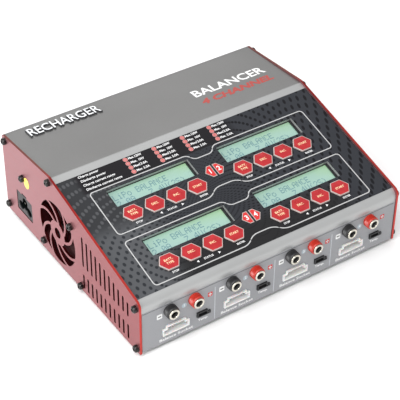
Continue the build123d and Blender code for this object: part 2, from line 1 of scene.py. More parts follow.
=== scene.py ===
"""Looks of the four-channel balance charger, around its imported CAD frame. Sizes are millimetres times MM."""
import json
import math

import bmesh
import bpy
from mathutils import Matrix, Vector


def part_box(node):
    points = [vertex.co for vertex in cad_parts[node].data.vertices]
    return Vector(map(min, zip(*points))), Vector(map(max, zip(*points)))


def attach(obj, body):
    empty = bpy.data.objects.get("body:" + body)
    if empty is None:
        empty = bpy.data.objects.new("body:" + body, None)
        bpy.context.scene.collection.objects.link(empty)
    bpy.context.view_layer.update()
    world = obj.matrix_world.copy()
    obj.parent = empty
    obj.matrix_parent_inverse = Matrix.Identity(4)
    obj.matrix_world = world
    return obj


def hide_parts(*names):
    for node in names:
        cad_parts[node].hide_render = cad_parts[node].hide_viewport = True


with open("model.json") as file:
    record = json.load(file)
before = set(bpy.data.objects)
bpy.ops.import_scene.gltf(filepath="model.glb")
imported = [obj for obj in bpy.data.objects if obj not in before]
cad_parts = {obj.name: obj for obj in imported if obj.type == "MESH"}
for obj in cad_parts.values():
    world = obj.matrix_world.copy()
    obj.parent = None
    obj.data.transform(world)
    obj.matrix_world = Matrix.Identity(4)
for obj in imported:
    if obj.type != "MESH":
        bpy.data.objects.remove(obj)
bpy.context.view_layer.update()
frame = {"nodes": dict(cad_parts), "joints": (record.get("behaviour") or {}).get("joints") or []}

MM = 0.001
NODES = frame["nodes"]
CASE = "case"


# ---------------------------------------------------------------- places on the object

def corner(node, high=False):
    return Vector(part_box(node)[1 if high else 0])


PRESS_AXIS = next(Vector(j["axis"]) for j in frame["joints"] if j["name"] == "press_1_type")
SLOPE_UP = Vector((0, -PRESS_AXIS.z, PRESS_AXIS.y))
FILM = 0.3 * MM
CHANNELS = 4
CHANNEL_PITCH = 47.85
CHANNEL_X = [(i - (CHANNELS - 1) / 2) * CHANNEL_PITCH for i in range(CHANNELS)]
PLATE_FRONT = corner("left_plate").y
PLATE_LOW = corner("left_plate").z
REAR_FALL = 0.0719
REAR_WALL = 1.7
REAR_TOP_LENGTH = 65.25


def slope_at(x, down, lift=0.0):
    """A frame on the overlay's face: x right, down from its upper edge, lift off it; all in mm."""
    normal = -PRESS_AXIS
    edge = Vector((0, corner("panel_overlay", True).y + FILM * normal.y, corner("panel_overlay", True).z))
    place = edge + Vector((x, 0, 0)) * MM - SLOPE_UP * down * MM + normal * lift * MM
    return frame_matrix(Vector((1, 0, 0)), SLOPE_UP, normal, place)


def front_at(x, height, lift=0.0):
    """A frame on the front label: x right, height above the plates' bottom edge, lift off it; all in mm."""
    place = Vector((x * MM, corner("front_label").y - lift * MM, PLATE_LOW + height * MM))
    return frame_matrix(Vector((1, 0, 0)), Vector((0, 0, 1)), Vector((0, -1, 0)), place)


def rear_top_at(x, back, lift=0.0):
    """A frame on the cover's rear top: x right, back from the bend, lift off it; all in mm."""
    along = Vector((0, math.cos(REAR_FALL), -math.sin(REAR_FALL)))
    normal = Vector((0, math.sin(REAR_FALL), math.cos(REAR_FALL)))
    rear = Vector((0, corner("base_tray", True).y - REAR_WALL * MM, corner("base_tray", True).z))
    place = rear + Vector((x * MM, 0, 0)) + along * (back - REAR_TOP_LENGTH) * MM + normal * lift * MM
    return frame_matrix(Vector((1, 0, 0)), along, normal, place)


def frame_matrix(right, up, out, place):
    columns = Matrix((right, up, out)).transposed().to_4x4()
    columns.translation = place
    return columns


# ---------------------------------------------------------------- materials

class Shade:
    """A Principled material and short ways to add nodes to it."""

    def __init__(self, name, **constants):
        self.material = bpy.data.materials.new(name)
        self.material.use_nodes = True
        self.tree = self.material.node_tree
        self.shader = self.tree.nodes["Principled BSDF"]
        for socket, value in constants.items():
            self.shader.inputs[socket.replace("_", " ")].default_value = value

    def node(self, kind, inputs=(), **settings):
        made = self.tree.nodes.new("ShaderNode" + kind)
        for key, value in settings.items():
            setattr(made, key, value)
        for index, value in enumerate(inputs):
            if value is None:
                continue
            if isinstance(value, bpy.types.NodeSocket):
                self.tree.links.new(value, made.inputs[index])
            else:
                made.inputs[index].default_value = value
        return made

    def math(self, operation, *values):
        return self.node("Math", values, operation=operation).outputs[0]

    def place(self, kind="Object"):
        return self.node("TexCoord").outputs[kind]

    def axes(self, vector=None):
        return self.node("SeparateXYZ", (vector or self.place(),)).outputs

    def stretched(self, scale, vector=None):
        return self.node("Mapping", (vector or self.place(), None, None, scale)).outputs[0]

    def noise(self, scale, detail=3.0, stretch=None):
        source = self.stretched(stretch) if stretch else self.place()
        made = self.node("TexNoise")
        self.tree.links.new(source, made.inputs["Vector"])
        made.inputs["Scale"].default_value = scale
        made.inputs["Detail"].default_value = detail
        return made.outputs[0]

    def ramp(self, factor, *stops):
        """A colour ramp; each stop is (position, colour)."""
        made = self.node("ValToRGB", (factor,))
        while len(made.color_ramp.elements) < len(stops):
            made.color_ramp.elements.new(0.5)
        for element, (position, colour) in zip(made.color_ramp.elements, stops):
            element.position = position
            element.color = (*colour, 1)
        return made.outputs[0]

    def span(self, value, low, high, to_low=0.0, to_high=1.0, smooth=False):
        made = self.node("MapRange", (value, low, high, to_low, to_high))
        made.interpolation_type = "SMOOTHSTEP" if smooth else "LINEAR"
        return made.outputs[0]

    def mix(self, factor, first, second):
        made = self.node("Mix", data_type="RGBA")
        for socket, value in zip(("Factor", "A", "B"), (factor, first, second)):
            target = next(s for s in made.inputs
                          if s.name == socket and s.enabled and (socket == "Factor" or s.type == "RGBA"))
            if isinstance(value, bpy.types.NodeSocket):
                self.tree.links.new(value, target)
            elif socket == "Factor":
                target.default_value = value
            else:
                target.default_value = (*value, 1)
        return next(s for s in made.outputs if s.type == "RGBA" and s.enabled)

    def colour(self, socket):
        self.tree.links.new(socket, self.shader.inputs["Base Color"])

    def roughness(self, noise, low, high):
        self.tree.links.new(self.span(noise, 0.3, 0.7, low, high), self.shader.inputs["Roughness"])

    def bump(self, height, strength, distance):
        made = self.node("Bump", (strength, distance))
        self.tree.links.new(height, made.inputs["Height"])
        self.tree.links.new(made.outputs[0], self.shader.inputs["Normal"])


def grey(value):
    return (value, value, value)


def cover_metal():
    """Bead-blasted clear aluminium, painted lighter on the slope and front and painted with shade, a darker
    grey, behind the bend, where the same metal catches less light.
    """
    shade = Shade("cover_metal", Metallic=0.55)
    height = shade.axes()[1]
    # Painted shade: from the bend back, the metal takes the darker copy below, standing in for the light
    # falling less on the rear top.
    behind = shade.span(height, (PLATE_FRONT + 112.0 * MM), (PLATE_FRONT + 113.2 * MM))
    grain = shade.noise(2600.0, 4.0)
    cloud = shade.noise(14.0, 2.0)
    bright = shade.mix(shade.span(cloud, 0.3, 0.7, 0.0, 1.0), (0.40, 0.405, 0.405), (0.45, 0.455, 0.455))
    dark = shade.mix(shade.span(cloud, 0.3, 0.7, 0.0, 1.0), (0.137, 0.136, 0.134), (0.154, 0.153, 0.151))
    shade.colour(shade.mix(behind, bright, dark))
    shade.roughness(grain, 0.38, 0.5)
    shade.bump(grain, 0.25, 0.00004)
    return shade.material


def anodised_red():
    """Satin red anodised sheet: brushed faces with a painted pale sheen of reflected light, paler towards the
    rear; red outer edges with painted shade darkening them towards the rear; and painted shade on the vent
    walls.
    """
    shade = Shade("anodised_red", Metallic=0.8)
    y, z = shade.axes()[1:]
    back = shade.math("SUBTRACT", y, PLATE_FRONT)
    height = shade.math("SUBTRACT", z, PLATE_LOW)
    slope_top = shade.math("MULTIPLY_ADD", back, 0.2444, 0.043)
    rear_top = shade.math("MULTIPLY_ADD", back, -0.0889, 0.0805)
    under = shade.math("SUBTRACT", shade.math("MINIMUM", slope_top, rear_top), height)
    rim = shade.math("MINIMUM", shade.math("MINIMUM", under, height),
                     shade.math("MINIMUM", back, shade.math("SUBTRACT", 0.180, back)))
    # Painted shade: the vent walls, found by this mask, are coloured near-black maroon for the shade inside
    # the slots.
    inside = shade.span(rim, 0.0012, 0.0020)
    facing = shade.math("ABSOLUTE", shade.axes(shade.place("Normal"))[0])
    face = shade.span(facing, 0.45, 0.9)
    streak = shade.noise(900.0, 4.0, (1.0, 0.06, 1.0))
    # Painted reflection: the faces' pale pink is a painted sheen of the light floor, paler at the rear and
    # redder at the front.
    rear_painted_sheen = shade.mix(shade.span(streak, 0.3, 0.7), (0.335, 0.145, 0.158), (0.395, 0.180, 0.192))
    fore_painted_sheen = shade.mix(shade.span(streak, 0.3, 0.7), (0.290, 0.088, 0.096), (0.340, 0.115, 0.122))
    pale = shade.mix(shade.span(back, 0.01, 0.16, smooth=True), fore_painted_sheen, rear_painted_sheen)
    # Painted shade on the outer edges: bright red at the front, growing darker towards the rear.
    edge = shade.ramp(shade.span(back, 0.0, 0.18), (0.0, (0.52, 0.050, 0.040)), (0.35, (0.44, 0.035, 0.028)),
                      (0.60, (0.26, 0.014, 0.012)), (0.68, (0.13, 0.030, 0.022)), (1.0, (0.12, 0.030, 0.022)))
    edge_and_vent_shade = shade.mix(inside, edge, (0.075, 0.003, 0.004))
    shade.colour(shade.mix(face, edge_and_vent_shade, pale))
    shade.roughness(streak, 0.34, 0.48)
    shade.bump(streak, 0.12, 0.00003)
    return shade.material


SPOT_X = 1.08
ROW_LEAN = 0.370
LEAN_BEND = 0.83e-6
ROWS_FROM = 57.0
GAP_MIDDLE = -20.0
GAP_REACH = 30.0
GAP_GROWTH = 0.42
GAP_START = -10.0
SPOT_HALF_WIDTH = 1.1
SPOT_HALF_GAP = 0.065


def overlay_print():
    """Dark printed film with a slanting lattice of spots that opens out towards both sides."""
    shade = Shade("overlay_print", Specular_IOR_Level=0.16)
    x, y = shade.axes()[:2]
    across_mm = shade.math("MULTIPLY", x, 1 / MM)
    down = shade.math("DIVIDE", shade.math("SUBTRACT", slope_at(0, 0).translation.y, y), -PRESS_AXIS.z)
    down_mm = shade.math("MULTIPLY", down, 1 / MM)
    side = shade.math("ABSOLUTE", x)

    shifted = shade.math("SUBTRACT", across_mm, GAP_MIDDLE)
    reach = shade.math("SQRT", shade.math("MULTIPLY_ADD", shifted, shifted, GAP_REACH ** 2))
    gap = shade.math("MULTIPLY_ADD", reach, GAP_GROWTH, GAP_START)
    growth = shade.math("DIVIDE", shade.math("MULTIPLY", shifted, GAP_GROWTH), reach)
    rows = shade.math("DIVIDE", shade.math("SUBTRACT", down_mm, ROWS_FROM), gap)
    square = shade.math("MULTIPLY", across_mm, across_mm)
    lean = shade.math("MULTIPLY", across_mm, shade.math("MULTIPLY_ADD", square, -LEAN_BEND, ROW_LEAN))
    row = shade.math("ADD", rows, lean)
    column = shade.math("DIVIDE", across_mm, SPOT_X)
    turn = shade.math("SUBTRACT", shade.math("MULTIPLY_ADD", square, -3 * LEAN_BEND, ROW_LEAN),
                      shade.math("MULTIPLY", rows, shade.math("DIVIDE", growth, gap)))
    first = shade.math("SUBTRACT", shade.math("MULTIPLY", row, 2.0), column)
    second = shade.math("SUBTRACT", shade.math("MULTIPLY", row, 3.0), column)
    first = shade.math("SUBTRACT", first, shade.math("ROUND", first))
    second = shade.math("SUBTRACT", second, shade.math("ROUND", second))
    across = shade.math("MULTIPLY_ADD", first, -3 * SPOT_X, shade.math("MULTIPLY", second, 2 * SPOT_X))
    along = shade.math("SUBTRACT", second, first)
    along = shade.math("SUBTRACT", along, shade.math("MULTIPLY", turn, across))
    tilt = shade.span(x, 0.01, 0.09, 0.0, 0.2, smooth=True)
    across = shade.math("MULTIPLY_ADD", shade.math("MULTIPLY", along, gap), tilt, across)
    distance = shade.math("ADD", shade.math("POWER", shade.math("DIVIDE", across, SPOT_HALF_WIDTH), 2.0),
                          shade.math("POWER", shade.math("DIVIDE", along, SPOT_HALF_GAP), 2.0))
    spot = shade.span(distance, 0.6, 1.4, 1.0, 0.0, smooth=True)
    left = shade.span(x, -0.045, -0.075, smooth=True)
    low = shade.span(down, 0.042, 0.058, smooth=True)
    middle = shade.span(side, 0.030, 0.012, smooth=True)
    foot = shade.math("MULTIPLY", shade.span(down, 0.074, 0.090, smooth=True),
                      shade.span(side, 0.082, 0.055, smooth=True))
    left_ground = shade.mix(low, (0.026, 0.027, 0.030), (0.072, 0.075, 0.081))
    ground = shade.mix(left, (0.027, 0.029, 0.035), left_ground)
    darkened = shade.math("MAXIMUM", shade.math("MULTIPLY", middle, 0.15), foot)
    ground = shade.mix(darkened, ground, (0.014, 0.014, 0.015))
    left_spots = shade.mix(low, (0.066, 0.068, 0.073), (0.020, 0.022, 0.026))
    spots = shade.mix(left, (0.005, 0.005, 0.007), left_spots)
    spots = shade.mix(foot, spots, (0.010, 0.010, 0.011))
    pattern = shade.mix(spot, ground, spots)
    table = shade.math("MULTIPLY", shade.span(down, 0.0162, 0.0166, 1.0, 0.0),
                       shade.math("MULTIPLY", shade.span(x, -0.092, -0.088), shade.span(x, 0.036, 0.028)))
    shade.colour(shade.mix(table, pattern, (0.009, 0.008, 0.010)))
    grain = shade.noise(3200.0, 3.0)
    shade.roughness(grain, 0.40, 0.52)
    shade.bump(grain, 0.15, 0.00003)
    return shade.material


def inlet_plastic():
    """Moulded grey plastic, black inside the recess where no light falls."""
    shade = Shade("inlet_grey", Roughness=0.5)
    grain = shade.noise(1300.0, 4.0)
    front = corner("inlet_body").x
    deep = shade.span(shade.axes()[0], front + 0.1 * MM, front + 0.9 * MM)
    rim = shade.mix(shade.span(grain, 0.3, 0.7), (0.045, 0.043, 0.045), (0.065, 0.063, 0.065))
    pit = shade.mix(shade.span(grain, 0.3, 0.7), (0.0020, 0.0035, 0.0035), (0.0045, 0.0065, 0.0065))
    shade.colour(shade.mix(deep, rim, pit))
    shade.tree.links.new(shade.span(deep, 0.0, 1.0, 0.25, 0.04), shade.shader.inputs["Specular IOR Level"])
    shade.bump(grain, 0.3, 0.00004)
    return shade.material


def grained(name, first, second, scale=900.0, rough=(0.4, 0.55), bump=0.00004, stretch=None, **constants):
    """A material whose colour, roughness and surface vary with a fine grain."""
    shade = Shade(name, **constants)
    grain = shade.noise(scale, 4.0, stretch)
    shade.colour(shade.mix(shade.span(grain, 0.3, 0.7), first, second))
    shade.roughness(grain, *rough)
    shade.bump(grain, 0.3, bump)
    return shade.material


def lcd_panel():
    """The lit display: pale green going to a cooler tone at its lower left."""
    shade = Shade("lcd_panel", Roughness=0.12, Coat_Weight=0.6, Coat_Roughness=0.05)
    place = shade.place("Generated")
    x, y = shade.axes(place)[:2]
    sweep = shade.math("MULTIPLY_ADD", shade.math("SUBTRACT", 1.0, x), 0.45,
                       shade.math("MULTIPLY", shade.math("SUBTRACT", 1.0, y), 0.65))
    cloud = shade.noise(60.0, 2.0)
    tone = shade.math("ADD", sweep, shade.span(cloud, 0.3, 0.7, -0.12, 0.12))
    green = shade.ramp(tone, (0.0, (0.27, 0.44, 0.25)), (0.45, (0.26, 0.41, 0.34)), (1.0, (0.25, 0.38, 0.36)))
    shade.colour(green)
    shade.tree.links.new(green, shade.shader.inputs["Emission Color"])
    shade.shader.inputs["Emission Strength"].default_value = 0.22
    return shade.material


MATERIALS = {
    "cover": cover_metal(),
    "red_sheet": anodised_red(),
    "overlay": overlay_print(),
    "label": grained("label_print", (0.262, 0.266, 0.280), (0.295, 0.299, 0.313), 2400.0, (0.42, 0.5),
                     0.00002, Specular_IOR_Level=0.45),
    "lcd": lcd_panel(),
    "lcd_ink": grained("lcd_ink", (0.11, 0.22, 0.25), (0.14, 0.26, 0.29), 700.0, (0.2, 0.3)),
    "lcd_steel": grained("lcd_steel", (0.012, 0.013, 0.014), (0.03, 0.031, 0.033), 500.0, (0.3, 0.45),
                         Metallic=0.4),
    "white_ink": grained("white_ink", (0.72, 0.72, 0.72), (0.82, 0.82, 0.82), 1500.0, (0.45, 0.55)),
    "line_ink": grained("line_ink", (0.42, 0.42, 0.42), (0.50, 0.50, 0.50), 1500.0, (0.45, 0.55)),
    "pink_ink": grained("pink_ink", (0.44, 0.22, 0.21), (0.52, 0.28, 0.27), 1500.0, (0.45, 0.55)),
    "red_ink": grained("red_ink", (0.50, 0.012, 0.012), (0.60, 0.022, 0.022), 1500.0, (0.4, 0.5)),
    "rust_ink": grained("rust_ink", (0.32, 0.026, 0.018), (0.40, 0.036, 0.026), 1500.0, (0.45, 0.6)),
    "dark_ink": grained("dark_ink", (0.05, 0.05, 0.055), (0.075, 0.075, 0.08), 1500.0, (0.45, 0.55)),
    "pale_ink": grained("pale_ink", (0.48, 0.50, 0.54), (0.56, 0.58, 0.62), 1500.0, (0.45, 0.55)),
    "disc_ink": grained("disc_ink", (0.33, 0.41, 0.46), (0.39, 0.47, 0.52), 1500.0, (0.45, 0.55)),
    "key_red": grained("key_red", (0.35, 0.008, 0.012), (0.43, 0.013, 0.018), 260.0, (0.26, 0.36), 0.00002,
                       Coat_Weight=0.08, Coat_Roughness=0.2),
    "key_rim": grained("key_rim", (0.39, 0.32, 0.30), (0.45, 0.38, 0.36), 700.0, (0.35, 0.45)),
    "key_ink": grained("key_ink", (0.84, 0.62, 0.36), (0.90, 0.70, 0.44), 900.0, (0.4, 0.5)),
    "black_plastic": grained("black_plastic", (0.010, 0.010, 0.011), (0.024, 0.024, 0.026), 1300.0,
                             (0.32, 0.5)),
    "jack_red": grained("jack_red", (0.40, 0.016, 0.006), (0.48, 0.024, 0.010), 1300.0, (0.25, 0.38),
                        Coat_Weight=0.2, Coat_Roughness=0.25),
    "nickel": grained("nickel", (0.60, 0.57, 0.49), (0.72, 0.69, 0.61), 1800.0, (0.16, 0.28), Metallic=1.0),
    # Painted shade: near-black for the shadow down the jack bores.
    "bore_painted_shade": grained("bore_painted_shade", (0.006, 0.006, 0.006), (0.016, 0.016, 0.015), 900.0, (0.5, 0.7)),
    # Painted light: a faint white glow lightens the shaded insides of the balance sockets.
    "nylon_painted_glow": grained("nylon_painted_glow", (0.62, 0.62, 0.61), (0.70, 0.70, 0.69), 1100.0, (0.35, 0.5),
                     Emission_Color=(1, 1, 1, 1), Emission_Strength=0.06,
                     Subsurface_Weight=0.25, Subsurface_Scale=0.002),
    "inlet_grey": inlet_plastic(),
    "tin": grained("tin", (0.70, 0.69, 0.66), (0.82, 0.81, 0.78), 1500.0, (0.22, 0.35), Metallic=1.0),
    "screw_black": grained("screw_black", (0.008, 0.007, 0.007), (0.030, 0.028, 0.027), 650.0, (0.15, 0.3),
                           Metallic=0.6, Coat_Weight=0.2, Coat_Roughness=0.12),
    "sticker": grained("sticker", (0.83, 0.62, 0.10), (0.90, 0.72, 0.18), 500.0, (0.4, 0.55)),
    "letter_silver": grained("letter_silver", (0.55, 0.56, 0.57), (0.64, 0.65, 0.66), 2200.0, (0.25, 0.36),
                             Metallic=0.85),
    # Painted shade for the sides of the raised letters.
    "letter_side_shade": grained("letter_side_shade", (0.035, 0.035, 0.038), (0.06, 0.06, 0.065), 1500.0, (0.4, 0.5)),
    "board_green": grained("board_green", (0.010, 0.085, 0.030), (0.018, 0.13, 0.05), 260.0, (0.3, 0.45)),
    "brass": grained("brass", (0.66, 0.46, 0.20), (0.78, 0.58, 0.28), 900.0, (0.25, 0.4), Metallic=1.0),
    "ferrite": grained("ferrite", (0.03, 0.03, 0.032), (0.07, 0.07, 0.072), 900.0, (0.5, 0.7)),
    "tape": grained("tape", (0.72, 0.52, 0.05), (0.82, 0.63, 0.10), 300.0, (0.3, 0.4), stretch=(1, 1, 8)),
    "sleeve_blue": grained("sleeve_blue", (0.015, 0.025, 0.08), (0.03, 0.045, 0.12), 200.0, (0.2, 0.35)),
    "copper": grained("copper", (0.55, 0.20, 0.08), (0.75, 0.33, 0.15), 700.0, (0.25, 0.4), Metallic=0.8),
    "fin_metal": grained("fin_metal", (0.55, 0.55, 0.56), (0.66, 0.66, 0.67), 800.0, (0.3, 0.45),
                          Metallic=0.9),
    "diffuser": grained("diffuser", (0.75, 0.80, 0.78), (0.85, 0.88, 0.86), 500.0, (0.5, 0.6)),
    "fan_dark": grained("fan_dark", (0.020, 0.002, 0.003), (0.034, 0.004, 0.005), 1300.0, (0.45, 0.6),
                        Specular_IOR_Level=0.15),
    "rubber": grained("rubber", (0.014, 0.014, 0.014), (0.030, 0.030, 0.030), 1600.0, (0.65, 0.85), 0.00008),
}

LOOK_OF_NODE = {
    "top_cover": "cover", "base_tray": "cover", "left_plate": "red_sheet", "right_plate": "red_sheet",
    "panel_overlay": "overlay", "front_label": "label", "tact_switches": "black_plastic",
    "lcd_backlights": "diffuser", "control_board": "board_green", "control_spacers": "brass",
    "jack_nuts": "nickel", "balance_sockets": "nylon_painted_glow", "temp_sockets": "black_plastic", "socket_pins": "tin",
    "output_board": "board_green", "inlet_body": "inlet_grey", "inlet_pins": "nickel",
    "fan_frame": "fan_dark", "fan_rotor": "fan_dark", "plate_screws": "screw_black",
    "fan_screws": "screw_black", "fan_nuts": "nickel", "seal_sticker": "sticker", "main_board": "board_green",
    "board_posts": "brass", "transformer_core": "ferrite", "transformer_winding": "tape",
    "bulk_capacitors": "sleeve_blue", "mains_choke": "copper", "heatsinks": "fin_metal",
    "channel_inductors": "copper", "feet": "rubber", "base_screws": "screw_black",
}


def dress_cad_nodes():
    looks = dict(LOOK_OF_NODE)
    looks.update({f"lcd_frame_{i}": "lcd_steel" for i in range(1, 5)})
    looks.update({f"lcd_glass_{i}": "lcd" for i in range(1, 5)})
    for name, look in looks.items():
        for slot in NODES[name].material_slots:
            slot.material = MATERIALS[look]


# ---------------------------------------------------------------- building pieces

class Piece:
    """One mesh built from closed parts, each with its own material."""

    def __init__(self, name, *looks):
        self.name = name
        self.looks = looks
        self.shape = bmesh.new()

    def loft(self, rings, look=0, cap_start=True, cap_end=True, smooth=False):
        """Skin a row of equal closed rings of points, and cap its ends."""
        loops = [[self.shape.verts.new(p) for p in ring] for ring in rings]
        count = len(rings[0])
        faces = []
        for lower, upper in zip(loops, loops[1:]):
            for i in range(count):
                j = (i + 1) % count
                faces.append(self.shape.faces.new((lower[i], lower[j], upper[j], upper[i])))
        if cap_start:
            faces.append(self.shape.faces.new(list(reversed(loops[0]))))
        if cap_end:
            faces.append(self.shape.faces.new(loops[-1]))
        for face in faces:
            face.material_index = look
            face.smooth = smooth
        return faces

    def prism(self, outline, place, thickness, look=0):
        """An outline in the place's own plane, raised by a thickness in mm."""
        low = [place @ Vector((x * MM, y * MM, 0)) for x, y in outline]
        high = [place @ Vector((x * MM, y * MM, thickness * MM)) for x, y in outline]
        return self.loft([low, high], look)

    def ribbon(self, path, width, place, thickness, look=0):
        """A closed flat band along a path in the place's own plane, in mm."""
        count = len(path)
        rings = []
        for i in range(count):
            before, here, after = (Vector(path[(i + k) % count]) for k in (-1, 0, 1))
            along = ((here - before).normalized() + (after - here).normalized()).normalized()
            side = Vector((-along.y, along.x)) * width / 2
            inner, outer = here + side, here - side
            rings.append([place @ Vector((p.x * MM, p.y * MM, z * MM))
                          for p, z in ((outer, 0), (inner, 0), (inner, thickness), (outer, thickness))])
        self.loft(rings + rings[:1], look, False, False)
        bmesh.ops.remove_doubles(self.shape, verts=self.shape.verts, dist=0.0000005)

    def text(self, words, height, place, thickness, look=0, align="CENTER", bold=0.0, slant=0.0, width=None):
        """Flat lettering of a cap height in mm, centred on its line; width, if given, stretches it to fit."""
        curve = bpy.data.curves.new("words", "FONT")
        curve.body = words
        curve.size = height / 0.72
        curve.align_x = align
        curve.align_y = "CENTER"
        curve.shear = slant
        curve.offset = bold
        curve.extrude = 0.5
        curve.resolution_u = 3
        holder = bpy.data.objects.new("words", curve)
        bpy.context.scene.collection.objects.link(holder)
        bpy.context.view_layer.update()
        mesh = bpy.data.meshes.new_from_object(holder.evaluated_get(bpy.context.evaluated_depsgraph_get()))
        xs = [v.co.x for v in mesh.vertices]
        stretch = width / (max(xs) - min(xs)) if width else 1.0
        shape = Matrix.Diagonal((stretch * MM, MM, thickness * MM, 1)) @ Matrix.Translation((0, 0, 0.5))
        mesh.transform(place @ shape)
        old = len(self.shape.faces)
        self.shape.from_mesh(mesh)
        self.shape.faces.ensure_lookup_table()
        for face in self.shape.faces[old:]:
            face.material_index = look
            face.smooth = False
        bpy.data.objects.remove(holder)
        bpy.data.meshes.remove(mesh)
        bpy.data.curves.remove(curve)

    def done(self, body, *replaced, slot=None):
        bmesh.ops.recalc_face_normals(self.shape, faces=self.shape.faces)
        mesh = bpy.data.meshes.new(self.name)
        self.shape.to_mesh(mesh)
        self.shape.free()
        for look in self.looks:
            mesh.materials.append(MATERIALS[look])
        made = bpy.data.objects.new(self.name, mesh)
        bpy.context.scene.collection.objects.link(made)
        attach(made, body)
        if replaced:
            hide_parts(*replaced)
        return made


def rounded(corners, radii, steps=6):
    """A closed outline with each corner replaced by an arc of its own radius."""
    count = len(corners)
    if isinstance(radii, (int, float)):
        radii = [radii] * count
    outline = []
    for i in range(count):
        before, here, after = (Vector(corners[(i + k) % count]) for k in (-1, 0, 1))
        back, ahead = (before - here).normalized(), (after - here).normalized()
        half = back.angle(ahead) / 2
        reach = radii[i] / math.tan(half)
        centre = here + (back + ahead).normalized() * radii[i] / math.sin(half)
        first, last = here + back * reach - centre, here + ahead * reach - centre
        turn = first.angle_signed(last)
        for step in range(steps + 1):
            spin = Matrix.Rotation(-turn * step / steps, 2)
            outline.append(tuple(centre + spin @ first))
    return outline


def circle(radius, count=32, centre=(0, 0)):
    return [(centre[0] + radius * math.cos(2 * math.pi * i / count),
             centre[1] + radius * math.sin(2 * math.pi * i / count)) for i in range(count)]


def rectangle(width, height, centre=(0, 0)):
    cx, cy = centre
    return [(cx - width / 2, cy - height / 2), (cx + width / 2, cy - height / 2),
            (cx + width / 2, cy + height / 2), (cx - width / 2, cy + height / 2)]


# ---------------------------------------------------------------- keys

KEY_TIP, KEY_HIGH, KEY_FLAT = 7.85, 6.15, 3.95
KEY_PITCH = 16.85
KEY_DOWN = 16.3
COLUMN_X = (-44.0, 44.0)
WINDOW_DOWN = (27.2, 71.8)
KEY_LABELS = {"type": ("BATT.", "TYPE"), "down": ("DEC.",), "up": ("INC.",), "start": ("START",)}
WINDOW_SPOTS = [(x, down) for down in WINDOW_DOWN for x in COLUMN_X]


def hexagon(inset, radius):
    """The key's outline, moved in by inset, its corners rounded."""
    slant = (KEY_TIP - KEY_FLAT) / KEY_HIGH
    tip = KEY_TIP - inset * math.sqrt(1 + slant * slant)
    high = KEY_HIGH - inset
    flat = tip - slant * high
    corners = [(tip, 0), (flat, high), (-flat, high), (-tip, 0), (-flat, -high), (flat, -high)]
    return rounded(corners, radius, 4)


def make_key(channel, name, x, down):
    """A glossy red cap, slightly domed, with a pale raised rim and its function's name."""
    body = f"key_{channel}_{name}"
    place = slope_at(x, down)
    profile = [(0.0, -2.4, 0.7), (0.0, 0.40, 0.7), (0.10, 0.60, 0.62), (0.28, 0.70, 0.5), (0.62, 0.70, 0.4)]
    crown = [(0.62, 0.70, 0.4), (0.74, 0.56, 0.35), (1.3, 0.62, 0.3), (2.4, 0.72, 0.25), (4.0, 0.80, 0.15),
             (5.6, 0.82, 0.05)]
    cap = Piece(f"{body}_cap", "key_rim", "key_red", "key_ink")

    def rings(stations):
        return [[place @ Vector((px * MM, py * MM, lift * MM)) for px, py in hexagon(inset, radius)]
                for inset, lift, radius in stations]

    cap.loft(rings(profile), 0, True, False)
    cap.loft(rings(crown), 1, False, True, smooth=True)
    bmesh.ops.remove_doubles(cap.shape, verts=cap.shape.verts, dist=0.000001)
    words = KEY_LABELS[name]
    for i, word in enumerate(words):
        line = (len(words) - 1) / 2 - i
        cap.text(word, 1.75, place @ Matrix.Translation((0, line * 2.7 * MM, 0.80 * MM)), 0.06, 2, bold=0.035)
    return cap.done(body, body, slot="key_red")


def make_keys():
    for channel, (centre, down) in enumerate(WINDOW_SPOTS, start=1):
        for k, name in enumerate(KEY_LABELS):
            make_key(channel, name, centre + (k - 1.5) * KEY_PITCH, down + KEY_DOWN)


# ---------------------------------------------------------------- displays

GLYPHS = {
    "L": "10000 10000 10000 10000 10000 10000 11111", "i": "00100 00000 01100 00100 00100 00100 01110",
    "P": "11110 10001 10001 11110 10000 10000 10000", "o": "00000 00000 01110 10001 10001 10001 01110",
    "B": "11110 10001 10001 11110 10001 10001 11110", "A": "01110 10001 10001 11111 10001 10001 10001",
    "N": "10001 11001 10101 10011 10001 10001 10001", "C": "01110 10001 10000 10000 10000 10001 01110",
    "E": "11111 10000 10000 11110 10000 10000 11111", "V": "10001 10001 10001 10001 10001 01010 00100",
    "S": "01111 10000 10000 01110 00001 00001 11110", "0": "01110 10001 10011 10101 11001 10001 01110",
    "2": "01110 10001 00001 00010 00100 01000 11111", "4": "00010 00110 01010 10010 11111 00010 00010",
    "7": "11111 00001 00010 00100 01000 01000 01000", ".": "00000 00000 00000 00000 00000 01100 01100",
    "(": "00010 00100 01000 01000 01000 00100 00010", ")": "01000 00100 00010 00010 00010 00100 01000",
}
SCREEN_LINES = ("LiPo BALANCE    ", "2.0A   7.4V(2S) ")
DOT_PITCH = (0.60, 0.70)
DOT_SIZE = (0.54, 0.64)
CHARACTER_PITCH = 3.55
LINE_PITCH = 5.95
TEXT_SHIFT = (-1.2, -1.1)


